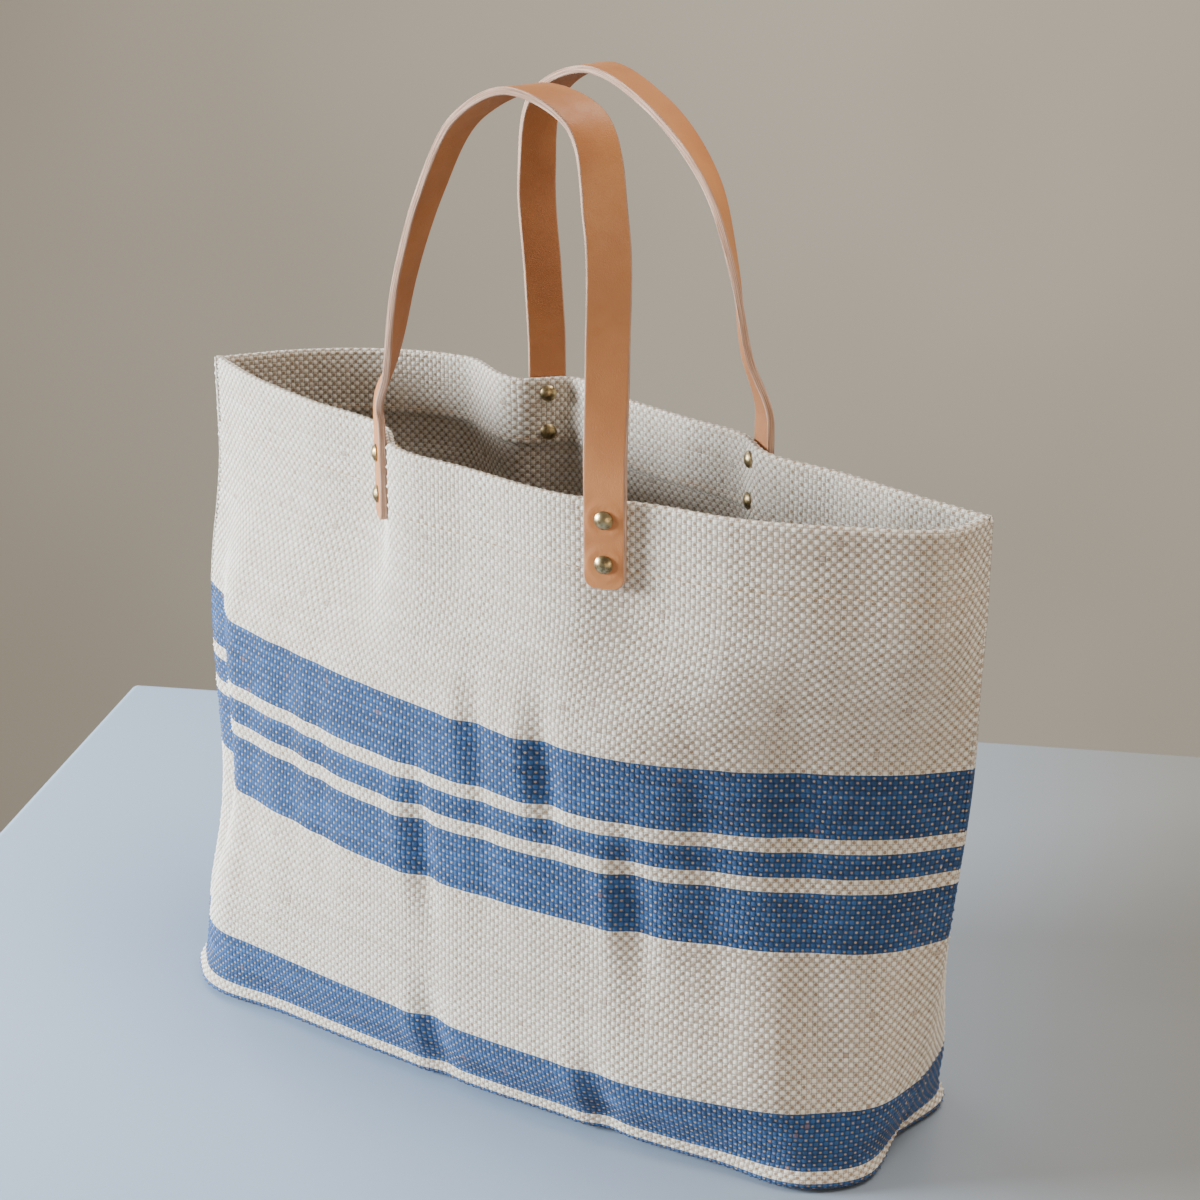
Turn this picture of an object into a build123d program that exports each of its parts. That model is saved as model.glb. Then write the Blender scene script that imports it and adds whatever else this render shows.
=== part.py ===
"""Striped woven tote bag with two riveted leather strap handles.

The frame stands the bag on the floor: +Z is up, the front panel faces -Y, +X is to the right,
and the origin is on the floor at the middle of the base. All sizes are in millimetres.
"""
from build123d import *
from math import asin, cos, hypot, radians, sin
import os

# Driving dimensions -------------------------------------------------------------------------
RIM_HEIGHT = 266.0          # floor to the folded rim
CLOTH = 2.0                 # thickness of the woven cloth
LAYER_GAP = 0.05            # between two layers of cloth
HEM_DEPTH = 29.0            # depth of the hem turned inside the rim
STITCH_HEIGHT = RIM_HEIGHT - HEM_DEPTH + 2.5
STITCH_WIDTH = 1.0
STITCH_PROUD = 0.35         # how far the stitches stand out of the cloth
SEAM_WIDTH = 10.0           # seam allowance left inside the bag
SEAM_THICKNESS = 2.4        # two pressed layers of cloth
BASE_HALF_WIDTH = 161.0
BASE_HALF_DEPTH = 50.0

STRAP_WIDTH = 16.0
STRAP_THICKNESS = 3.0
STRAP_GAP = 0.5             # between the strap's flesh side and the cloth
TAB_TAIL = 33.0             # strap end below the rim
TAB_CORNER = 4.5            # rounded corners of the strap's ends
TAB_TOP = -3.0              # top of the fixed tab, from the rim
FLEX_HEIGHT = 9.0           # bending line of the strap above the rim
RIVET_DROPS = (6.5, 23.5)   # upper and lower rivet below the rim

RIVET_CAP = 7.0             # diameter of a rivet's domed cap
RIVET_DOME = 1.5            # height of the dome
RIVET_RING = 0.5            # straight edge under the dome
POST = 3.0                  # diameter of a rivet's post
POST_HOLE = 3.3

# Outlines of the cloth seen from above, at heights over the floor. The front of each runs from the
# left side seam to the right one, and its rear comes back from the right seam to the left.
BASE_FRONT = [
    (-164, 0), (-163, -38), (-151, -49), (-100, -53), (-50, -56), (0, -57),
    (40, -56), (75, -54.5), (112, -52), (151, -49), (163, -38), (164, 0),
]
BASE_REAR = [
    (164, 0), (163, 38), (151, 49), (115, 51), (80, 52), (40, 53), (0, 53.5),
    (-40, 53), (-80, 52), (-115, 51), (-151, 49), (-163, 38), (-164, 0),
]
LOW_FRONT = [
    (-172, 0), (-167, -31), (-152, -47), (-100, -58), (-50, -64), (0, -67),
    (40, -67), (75, -66), (112, -60), (149, -47), (168, -28), (174, 2),
]
LOW_REAR = [
    (174, 2), (166, 36), (146, 50), (110, 56), (80, 59), (40, 61), (0, 62),
    (-35, 61.5), (-70, 60), (-110, 56), (-148, 48), (-167, 32), (-172, 0),
]
MIDDLE_FRONT = [
    (-181, 2), (-163, -19), (-136, -38), (-95, -53), (-50, -63), (0, -66),
    (40, -65), (70, -62), (105, -53), (143, -38), (169, -19), (182, 2),
]
MIDDLE_REAR = [
    (182, 2), (168, 26), (145, 41), (110, 51), (80, 58), (40, 62), (0, 65),
    (-35, 64), (-70, 62), (-105, 55), (-143, 42), (-168, 21), (-181, 2),
]
UPPER_FRONT = [
    (-188, 8), (-168, -12), (-139, -29), (-90, -45), (-50, -54), (-4, -62),
    (40, -64), (70, -62), (105, -51), (140, -33), (171, -13), (188, 4),
]
UPPER_REAR = [
    (188, 4), (172, 18), (147, 31), (110, 42), (80, 51), (40, 60), (0, 65),
    (-35, 68), (-70, 70), (-105, 65), (-142, 54), (-170, 31), (-188, 8),
]
RIM_FRONT = [
    (-190, 21), (-158, 4), (-112, -13), (-61, -28), (-43, -46), (0, -55),
    (54.4, -61.1), (75.6, -55.5), (115, -52), (155, -38), (186, -19), (190, 2),
]
RIM_REAR = [
    (190, 2), (160, 9), (120, 20), (84.2, 27.6), (67.8, 42.4), (30, 53), (-12, 66),
    (-39.3, 78.8), (-56.7, 65.2), (-96, 82), (-134, 74), (-166, 52), (-190, 21),
]
# The wall stands upright behind the handle ends, so the rim's outline comes twice.
UPRIGHT_FROM = RIM_HEIGHT - TAB_TAIL - 3
LEVELS = [
    (0.0, BASE_FRONT, BASE_REAR),
    (30.0, LOW_FRONT, LOW_REAR),
    (94.0, MIDDLE_FRONT, MIDDLE_REAR),
    (165.0, UPPER_FRONT, UPPER_REAR),
    (UPRIGHT_FROM, RIM_FRONT, RIM_REAR),
    (RIM_HEIGHT, RIM_FRONT, RIM_REAR),
]

# Handle ends: middle of the strap on the cloth at the rim, and the direction that the strap faces.
FRONT_LEFT = ((-52, -37), -135)
FRONT_RIGHT = ((65, -58.3), -75)
REAR_LEFT = ((-48, 72), 128)
REAR_RIGHT = ((76, 35), 48)
HANDLE_ENDS = {
    "front_left": FRONT_LEFT,
    "front_right": FRONT_RIGHT,
    "rear_left": REAR_LEFT,
    "rear_right": REAR_RIGHT,
}

# Middle line of each handle between its bending points, as x, y and height.
FRONT_LOOP = [
    (-41, -46, 298), (-29.5, -51, 334), (-14, -55, 369), (7, -58, 400), (31, -59, 411),
    (56, -59, 403), (66, -60.5, 368), (67, -61, 320),
]
REAR_LOOP = [
    (-50, 72, 310), (-52, 71, 352), (-44, 67, 386), (-17, 61, 400), (16, 53, 390),
    (47, 44, 363), (62, 38, 330), (69, 36, 300),
]
# Direction across the strap, as an angle from above, at shares of each loop's length.
FRONT_TWIST = [(0, -45), (0.15, -76), (0.32, -89), (0.4, -92), (0.55, -122), (0.7, -138), (0.85, -150),
               (1, -165)]
REAR_TWIST = [(0, -142), (0.12, -136), (0.25, -130), (0.38, -112), (0.5, -92), (0.6, -90), (0.75, -70),
              (1, -42)]
LOOP_SECTIONS = 25


def unit(angle):
    """Level direction at an angle in degrees from +X."""
    return Vector(cos(radians(angle)), sin(radians(angle)), 0)


def inset_points(front, rear, inset):
    """Front and rear of an outline moved inwards, or outwards where the inset is negative."""
    outline = front + rear[1:-1]
    moved = []
    for i, (x, y) in enumerate(outline):
        x_before, y_before = outline[i - 1]
        x_after, y_after = outline[(i + 1) % len(outline)]
        along_x, along_y = x_after - x_before, y_after - y_before
        length = hypot(along_x, along_y)
        moved.append((x - along_y / length * inset, y + along_x / length * inset))
    return moved[:len(front)], moved[len(front) - 1:] + moved[:1]


def layer_corners(front, rear, side, outer, inner):
    """Corners of a cut across one side of a cloth layer, between two insets."""
    outside = inset_points(front, rear, outer)[side]
    inside = inset_points(front, rear, inner)[side]
    return outside + inside[::-1]


def strap_middle(end, rise=0.0):
    """Middle of the strap's thickness at a handle end, at a rise over the rim."""
    return end_plane(end, rise).offset(STRAP_GAP + STRAP_THICKNESS / 2).origin


def end_plane(end, rise=0.0):
    """Plane on the cloth at a handle end: x across the strap, y up, z out of the bag."""
    (x, y), facing = end
    out = unit(facing)
    return Plane(origin=(x, y, RIM_HEIGHT + rise), x_dir=Vector(0, 0, 1).cross(out), z_dir=out)


def cut_post_holes(ends):
    """Holes for the rivets through whatever part is being built."""
    for end in ends:
        for drop in RIVET_DROPS:
            with Locations(end_plane(end, -drop)):
                Cylinder(POST_HOLE / 2, 8 * CLOTH, mode=Mode.SUBTRACT)


def save(part, name):
    """Name a finished piece and write it."""
    part.label = name
    export_step(part, f"parts/{name}.step")


# Cloth ----------------------------------------------------------------------------------------
os.makedirs("parts", exist_ok=True)
SIDES = [
    ("front", 0, (FRONT_LEFT, FRONT_RIGHT)),
    ("back", 1, (REAR_LEFT, REAR_RIGHT)),
]

for side_name, side, ends in SIDES:
    with BuildPart() as panel:
        for height, front, rear in LEVELS:
            with BuildSketch(Plane.XY.offset(height)):
                with BuildLine():
                    Polyline(*layer_corners(front, rear, side, 0, CLOTH), close=True)
                make_face()
        loft(ruled=True)
        cut_post_holes(ends)
    save(panel.part, f"{side_name}_panel")

    # The hem is turned inside the rim and lies on the panel.
    with BuildPart() as facing:
        with BuildSketch(Plane.XY.offset(RIM_HEIGHT - HEM_DEPTH)):
            with BuildLine():
                facing_corners = layer_corners(
                    RIM_FRONT, RIM_REAR, side, CLOTH + LAYER_GAP, 2 * CLOTH + LAYER_GAP
                )
                Polyline(*facing_corners, close=True)
            make_face()
        extrude(amount=HEM_DEPTH)
        cut_post_holes(ends)
    save(facing.part, f"{side_name}_hem_facing")

# Below its fold, each panel runs on under the bag as half of the base. A half is a piece of its own.
for side_name, side, ends in SIDES:
    with BuildPart() as base_half:
        with BuildSketch():
            with BuildLine():
                Polyline(*inset_points(BASE_FRONT, BASE_REAR, CLOTH + LAYER_GAP)[side], close=True)
            make_face()
        extrude(amount=CLOTH)
    save(base_half.part, f"{side_name}_base_half")

# Seam allowances --------------------------------------------------------------------------------
# Each is two pressed layers standing inwards from the meeting of the panels.
SEAM_FOOT = CLOTH + 0.5     # lower end of a side seam's allowance
SIDE_SEAMS = [
    ("left", 0, (5, 5, 8, 14, 15)),
    ("right", -1, (180, 180, 182, 190, 215)),
]
for seam_name, corner, inward_angles in SIDE_SEAMS:
    with BuildPart() as seam:
        for (height, front, rear), angle in zip(LEVELS, inward_angles):
            inward = unit(angle)
            meeting = Vector(*front[corner], max(height, SEAM_FOOT))
            seam_middle = meeting + inward * (CLOTH + 2.3 + SEAM_WIDTH / 2)
            with BuildSketch(Plane(origin=seam_middle, x_dir=inward, z_dir=(0, 0, 1))):
                Rectangle(SEAM_WIDTH, SEAM_THICKNESS)
        loft(ruled=True)
    save(seam.part, f"{seam_name}_side_seam")

with BuildPart() as bottom_seam:
    with BuildSketch(Plane.XY.offset(CLOTH + LAYER_GAP)):
        Rectangle(2 * (BASE_HALF_WIDTH - SEAM_WIDTH - 12), 2 * SEAM_WIDTH)
    extrude(amount=SEAM_THICKNESS / 2)
save(bottom_seam.part, "bottom_seam")

for seam_name, toward in (("left", -1), ("right", 1)):
    with BuildPart() as corner_seam:
        with BuildSketch(Plane.XY.offset(CLOTH + LAYER_GAP)):
            with Locations((toward * (BASE_HALF_WIDTH - 13), 0)):
                Rectangle(SEAM_THICKNESS, 2 * (BASE_HALF_DEPTH - 12))
        extrude(amount=SEAM_WIDTH)
    save(corner_seam.part, f"{seam_name}_corner_seam")

# Stitching --------------------------------------------------------------------------------------
for side_name, side, ends in SIDES:
    with BuildPart() as hem_stitching:
        with BuildSketch(Plane.XY.offset(STITCH_HEIGHT)):
            with BuildLine():
                stitch_corners = layer_corners(
                    RIM_FRONT, RIM_REAR, side, -LAYER_GAP - STITCH_PROUD, -LAYER_GAP
                )
                Polyline(*stitch_corners, close=True)
            make_face()
        extrude(amount=STITCH_WIDTH)
    save(hem_stitching.part, f"{side_name}_hem_stitching")

# Straps -----------------------------------------------------------------------------------------


def strap_section(centre, along, across):
    """Cut across a strap as a plane: x across the strap, z along it."""
    level = across - along * across.dot(along)
    return Plane(origin=centre, x_dir=level.normalized(), z_dir=along)


def twist_at(twist, share):
    """Direction across the strap at a share of its length."""
    for (start, start_angle), (end, end_angle) in zip(twist, twist[1:]):
        if share <= end:
            return start_angle + (end_angle - start_angle) * (share - start) / (end - start)


HANDLES = [
    ("front", FRONT_LEFT, FRONT_RIGHT, FRONT_LOOP, FRONT_TWIST),
    ("rear", REAR_LEFT, REAR_RIGHT, REAR_LOOP, REAR_TWIST),
]
for handle_name, left_end, right_end, loop_points, twist in HANDLES:
    left_foot = strap_middle(left_end, FLEX_HEIGHT)
    right_foot = strap_middle(right_end, FLEX_HEIGHT)
    with BuildLine():
        middle_line = Spline(left_foot, *loop_points, right_foot, tangents=[(0, 0, 1), (0, 0, -1)])
    print(handle_name, "strap between its bending lines", round(middle_line.length, 1))
    with BuildPart() as loop:
        for i in range(LOOP_SECTIONS):
            share = i / (LOOP_SECTIONS - 1)
            centre = middle_line @ share
            along = middle_line % share
            with BuildSketch(strap_section(centre, along, unit(twist_at(twist, share)))):
                Rectangle(STRAP_WIDTH, STRAP_THICKNESS)
        loft(ruled=True)
    save(loop.part, f"{handle_name}_handle_loop")

    for end_name, end in (("left", left_end), ("right", right_end)):
        tab_plane = end_plane(end).offset(STRAP_GAP)
        with BuildPart() as tab:
            with BuildSketch(tab_plane):
                with Locations((0, (TAB_TOP - TAB_TAIL) / 2)):
                    Rectangle(STRAP_WIDTH, TAB_TOP + TAB_TAIL)
            extrude(amount=STRAP_THICKNESS)
            upright_edges = tab.edges().filter_by(Axis(tab_plane.origin, tab_plane.z_dir))
            fillet(upright_edges.sort_by(Axis.Z)[:2], TAB_CORNER)
            cut_post_holes([end])
        save(tab.part, f"{handle_name}_handle_{end_name}_tab")

# Rivets -----------------------------------------------------------------------------------------
# A post with a domed head inside the bag passes through the cloth and the strap into a domed cap.
STRAP_FACE = STRAP_GAP + STRAP_THICKNESS
INSIDE_FACE = 2 * CLOTH + LAYER_GAP
HEAD_GAP = 0.1              # between a rivet's head or cap and what it lies on
BORE_DEPTH = 1.4            # blind bore in the cap that grips the post
BORE = POST + 0.04
POST_END = STRAP_FACE + HEAD_GAP + BORE_DEPTH - 0.1


def turning_plane(seat):
    """Plane through a rivet's axis, with x across the seat and y along the axis."""
    return Plane(origin=seat.origin, x_dir=seat.x_dir, z_dir=seat.x_dir.cross(seat.z_dir))


def domed_profile():
    """Half outline of a rivet's cap: x from the axis, y away from its seat."""
    edge = RIVET_CAP / 2
    sphere = (edge**2 + RIVET_DOME**2) / (2 * RIVET_DOME)
    half_way = asin(edge / sphere) / 2
    crown = RIVET_RING + RIVET_DOME
    Line((0, 0), (edge, 0))
    Line((edge, 0), (edge, RIVET_RING))
    ThreePointArc(
        (edge, RIVET_RING),
        (sphere * sin(half_way), crown - sphere * (1 - cos(half_way))),
        (0, crown),
    )
    Line((0, crown), (0, 0))


for end_name, end in HANDLE_ENDS.items():
    for rivet_name, drop in zip(("upper", "lower"), RIVET_DROPS):
        middle = end_plane(end, -drop)
        cap_seat = middle.offset(STRAP_FACE + HEAD_GAP)
        head_seat = middle.offset(-INSIDE_FACE - HEAD_GAP)
        inward_seat = Plane(head_seat.origin, x_dir=head_seat.x_dir, z_dir=-head_seat.z_dir)

        with BuildPart() as cap:
            with BuildSketch(turning_plane(cap_seat)):
                with BuildLine():
                    domed_profile()
                make_face()
            revolve(axis=Axis(cap_seat.origin, cap_seat.z_dir))
            with BuildSketch(cap_seat):
                Circle(BORE / 2)
            extrude(amount=BORE_DEPTH, mode=Mode.SUBTRACT)
        save(cap.part, f"{end_name}_{rivet_name}_rivet_cap")

        with BuildPart() as post:
            with BuildSketch(turning_plane(inward_seat)):
                with BuildLine():
                    domed_profile()
                make_face()
            revolve(axis=Axis(inward_seat.origin, inward_seat.z_dir))
            with BuildSketch(head_seat):
                Circle(POST / 2)
            extrude(amount=INSIDE_FACE + HEAD_GAP + POST_END)
        save(post.part, f"{end_name}_{rivet_name}_rivet_post")
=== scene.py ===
"""Looks of the striped woven tote bag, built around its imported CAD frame. Metres in Blender;
cloth, strap and stitch sizes are named in millimetres, as they are made, and scaled once."""
import math
import bpy
import numpy as np
from mathutils import Matrix


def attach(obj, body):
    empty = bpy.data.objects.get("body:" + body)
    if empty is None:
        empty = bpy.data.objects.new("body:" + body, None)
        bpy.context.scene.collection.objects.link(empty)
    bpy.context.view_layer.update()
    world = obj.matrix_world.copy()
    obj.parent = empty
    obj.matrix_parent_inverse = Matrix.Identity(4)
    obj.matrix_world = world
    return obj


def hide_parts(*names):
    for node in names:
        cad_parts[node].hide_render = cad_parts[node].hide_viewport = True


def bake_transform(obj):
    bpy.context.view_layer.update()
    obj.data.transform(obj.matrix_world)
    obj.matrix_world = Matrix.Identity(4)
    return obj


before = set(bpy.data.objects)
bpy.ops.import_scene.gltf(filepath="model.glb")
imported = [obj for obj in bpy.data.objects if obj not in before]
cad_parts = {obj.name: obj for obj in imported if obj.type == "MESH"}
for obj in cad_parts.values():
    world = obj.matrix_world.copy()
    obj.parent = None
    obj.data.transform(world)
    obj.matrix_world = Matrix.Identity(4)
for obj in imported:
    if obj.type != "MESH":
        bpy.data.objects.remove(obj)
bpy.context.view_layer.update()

MM = 0.001

# Sizes, in millimetres ------------------------------------------------------------------------
RIM_HEIGHT = 266.0
CLOTH = 1.8                 # thickness of the cloth between its two faces
HEM_DEPTH = 29.0
STITCH_HEIGHT = RIM_HEIGHT - HEM_DEPTH + 2.5
FLAT_WIDTH = 421.0          # a panel laid flat, between its side seams
FLAT_DEPTH = 52.0           # the part of a panel that lies under the base
WARP_COUNT = 206            # warp yarns across a panel
WARP_PITCH = FLAT_WIDTH / WARP_COUNT
ROW = 1.985                 # height of one row of weft
BASE_ROW = 164              # row of weft along the middle of the base
KNOB = 0.52                 # how far a weft yarn stands out where it passes over the warp
FLOOR_ROUND = 3.5           # radius of the fold round the base
FLOOR_LIFT = 0.5            # keeps the knobs of the underside above the floor
FOOT_FLARE = 3.5            # how far the fold round the base stands out of the wall above it
FOOT_FROM = 122             # row of weft where the wall starts to flare
FOOT_EXTRA = 8.0            # cloth taken up by the flare

STRAP_WIDTH = 16.0
STRAP_THICKNESS = 3.0
STRAP_GAP = 0.5
STRAP_CORNER = 4.5
TAB_TAIL = 33.0
FLEX_HEIGHT = 9.0
RIVET_DROPS = (6.5, 23.5)   # how far the rivets sit below the rim

SEAM_WIDTH = 10.0
SEAM_THICKNESS = 2.4

STITCH_PITCH = 4.0
STITCH_SINK = 0.7           # how far a stitch dips into the cloth at its ends
TOPSTITCH_SHARES = (0.022, 0.978)   # shares across a panel, beside its two side seams
TOPSTITCH_HEIGHTS = (12, 228)

# Outlines of the cloth from above, as in the CAD: height, front from left seam to right, rear back.
LEVELS = [
    (0.0,
     [(-164, 0), (-163, -38), (-151, -49), (-100, -53), (-50, -56), (0, -57),
      (40, -56), (75, -54.5), (112, -52), (151, -49), (163, -38), (164, 0)],
     [(164, 0), (163, 38), (151, 49), (115, 51), (80, 52), (40, 53), (0, 53.5),
      (-40, 53), (-80, 52), (-115, 51), (-151, 49), (-163, 38), (-164, 0)]),
    (30.0,
     [(-172, 0), (-167, -31), (-152, -47), (-100, -58), (-50, -64), (0, -67),
      (40, -67), (75, -66), (112, -60), (149, -47), (168, -28), (174, 2)],
     [(174, 2), (166, 36), (146, 50), (110, 56), (80, 59), (40, 61), (0, 62),
      (-35, 61.5), (-70, 60), (-110, 56), (-148, 48), (-167, 32), (-172, 0)]),
    (94.0,
     [(-181, 2), (-163, -19), (-136, -38), (-95, -53), (-50, -63), (0, -66),
      (40, -65), (70, -62), (105, -53), (143, -38), (169, -19), (182, 2)],
     [(182, 2), (168, 26), (145, 41), (110, 51), (80, 58), (40, 62), (0, 65),
      (-35, 64), (-70, 62), (-105, 55), (-143, 42), (-168, 21), (-181, 2)]),
    (165.0,
     [(-188, 8), (-168, -12), (-139, -29), (-90, -45), (-50, -54), (-4, -62),
      (40, -64), (70, -62), (105, -51), (140, -33), (171, -13), (188, 4)],
     [(188, 4), (172, 18), (147, 31), (110, 42), (80, 51), (40, 60), (0, 65),
      (-35, 68), (-70, 70), (-105, 65), (-142, 54), (-170, 31), (-188, 8)]),
]
RIM_FRONT = [(-190, 21), (-158, 4), (-112, -13), (-61, -28), (-43, -46), (0, -55),
             (54.4, -61.1), (75.6, -55.5), (115, -52), (155, -38), (186, -19), (190, 2)]
RIM_REAR = [(190, 2), (160, 9), (120, 20), (84.2, 27.6), (67.8, 42.4), (30, 53), (-12, 66),
            (-39.3, 78.8), (-56.7, 65.2), (-96, 82), (-134, 74), (-166, 52), (-190, 21)]
LEVELS += [(RIM_HEIGHT - TAB_TAIL - 3, RIM_FRONT, RIM_REAR), (RIM_HEIGHT, RIM_FRONT, RIM_REAR)]

# Soft upright folds in the cloth: share across the panel, height of the middle, half width,
# half height and depth, in millimetres after the share. A negative depth is a dent.
FRONT_FOLDS = [
    (0.076, 105, 15, 80, -9.0), (0.147, 120, 9, 80, 2.6),
    (0.25, 125, 9, 50, -1.8), (0.30, 125, 8, 50, -1.6),
    (0.418, 112, 6, 30, 1.6), (0.450, 108, 6, 34, -3.2),
    (0.488, 158, 6, 22, 1.2), (0.516, 158, 6, 26, -2.2),
    (0.566, 154, 6, 22, 2.0), (0.596, 152, 6, 28, -3.2),
    (0.660, 106, 6, 26, 1.6), (0.690, 106, 7, 30, -2.8), (0.525, 112, 8, 26, -1.4),
    (0.76, 125, 9, 44, -1.6), (0.84, 150, 9, 50, -1.4),
    (0.435, 22, 6, 20, 1.2), (0.462, 24, 7, 24, -3.2), (0.628, 16, 6, 18, 1.2), (0.655, 16, 7, 22, -2.6),
    (0.24, 60, 14, 30, 1.4), (0.87, 60, 12, 34, -2.6),
]
REAR_FOLDS = [
    (0.14, 120, 10, 60, -2.2), (0.30, 140, 10, 60, 1.6), (0.42, 100, 9, 60, -2.0),
    (0.55, 150, 10, 55, 1.6), (0.68, 120, 9, 60, -2.2), (0.80, 90, 11, 50, 1.6),
    (0.88, 130, 10, 50, -2.0), (0.50, 32, 13, 24, -2.6),
]

# Handle ends: middle of the strap on the cloth at the rim, and the direction that it faces.
FRONT_LEFT = ((-52, -37), -135)
FRONT_RIGHT = ((65, -58.3), -75)
REAR_LEFT = ((-48, 72), 128)
REAR_RIGHT = ((76, 35), 48)
FRONT_LOOP = [(-41, -46, 298), (-29.5, -51, 334), (-14, -55, 369), (7, -58, 400), (31, -59, 411),
              (56, -59, 403), (66, -60.5, 368), (67, -61, 320)]
REAR_LOOP = [(-50, 72, 310), (-52, 71, 352), (-44, 67, 386), (-17, 61, 400), (16, 53, 390),
             (47, 44, 363), (62, 38, 330), (69, 36, 300)]
FRONT_TWIST = [(0, -45), (0.15, -76), (0.32, -89), (0.4, -92), (0.55, -122), (0.7, -138), (0.85, -150),
               (1, -165)]
REAR_TWIST = [(0, -142), (0.12, -136), (0.25, -130), (0.38, -112), (0.5, -92), (0.6, -90), (0.75, -70),
              (1, -42)]


# Curves -----------------------------------------------------------------------------------------


def hermite(knots, values, slopes, at):
    """Cubic through values at knots with the given slopes, read at many places."""
    at = np.asarray(at, float)
    i = np.clip(np.searchsorted(knots, at, side="right") - 1, 0, len(knots) - 2)
    span = knots[i + 1] - knots[i]
    t = ((at - knots[i]) / span)[:, None]
    span = span[:, None]
    return ((2 * t**3 - 3 * t**2 + 1) * values[i] + (t**3 - 2 * t**2 + t) * span * slopes[i]
            + (3 * t**2 - 2 * t**3) * values[i + 1] + (t**3 - t**2) * span * slopes[i + 1])


def smooth_path(points, count):
    """Evenly spaced points along a smooth curve through the given ones."""
    points = np.array(points, float)
    chords = np.linalg.norm(np.diff(points, axis=0), axis=1)
    knots = np.concatenate([[0], np.cumsum(chords)])
    slopes = np.gradient(points, knots, axis=0)
    fine = hermite(knots, points, slopes, np.linspace(0, knots[-1], 40 * len(points)))
    run = np.concatenate([[0], np.cumsum(np.linalg.norm(np.diff(fine, axis=0), axis=1))])
    even = np.linspace(0, run[-1], count)
    return np.stack([np.interp(even, run, fine[:, k]) for k in range(fine.shape[1])], axis=1)


def level_slopes(heights, values):
    """Slopes that keep a column of cloth from overshooting between its levels."""
    steps = np.diff(heights)[:, None]
    secants = np.diff(values, axis=0) / steps
    slopes = np.zeros_like(values)
    before, after = secants[:-1], secants[1:]
    same_way = before * after > 0
    mean = 2 * before * after / np.where(same_way, before + after, 1)
    slopes[1:-1] = np.where(same_way, mean, 0)
    slopes[0] = secants[0]
    return slopes


def unit(angle):
    return np.array([math.cos(math.radians(angle)), math.sin(math.radians(angle)), 0.0])


def smooth_noise(rng, count, spacing):
    """Random values from -1 to 1 that change smoothly over a number of samples."""
    knots = rng.uniform(-1, 1, int(count / spacing) + 3)
    at = np.arange(count) / spacing
    i = at.astype(int)
    t = at - i
    t = t * t * (3 - 2 * t)
    return knots[i] * (1 - t) + knots[i + 1] * t


# Materials --------------------------------------------------------------------------------------


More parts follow.
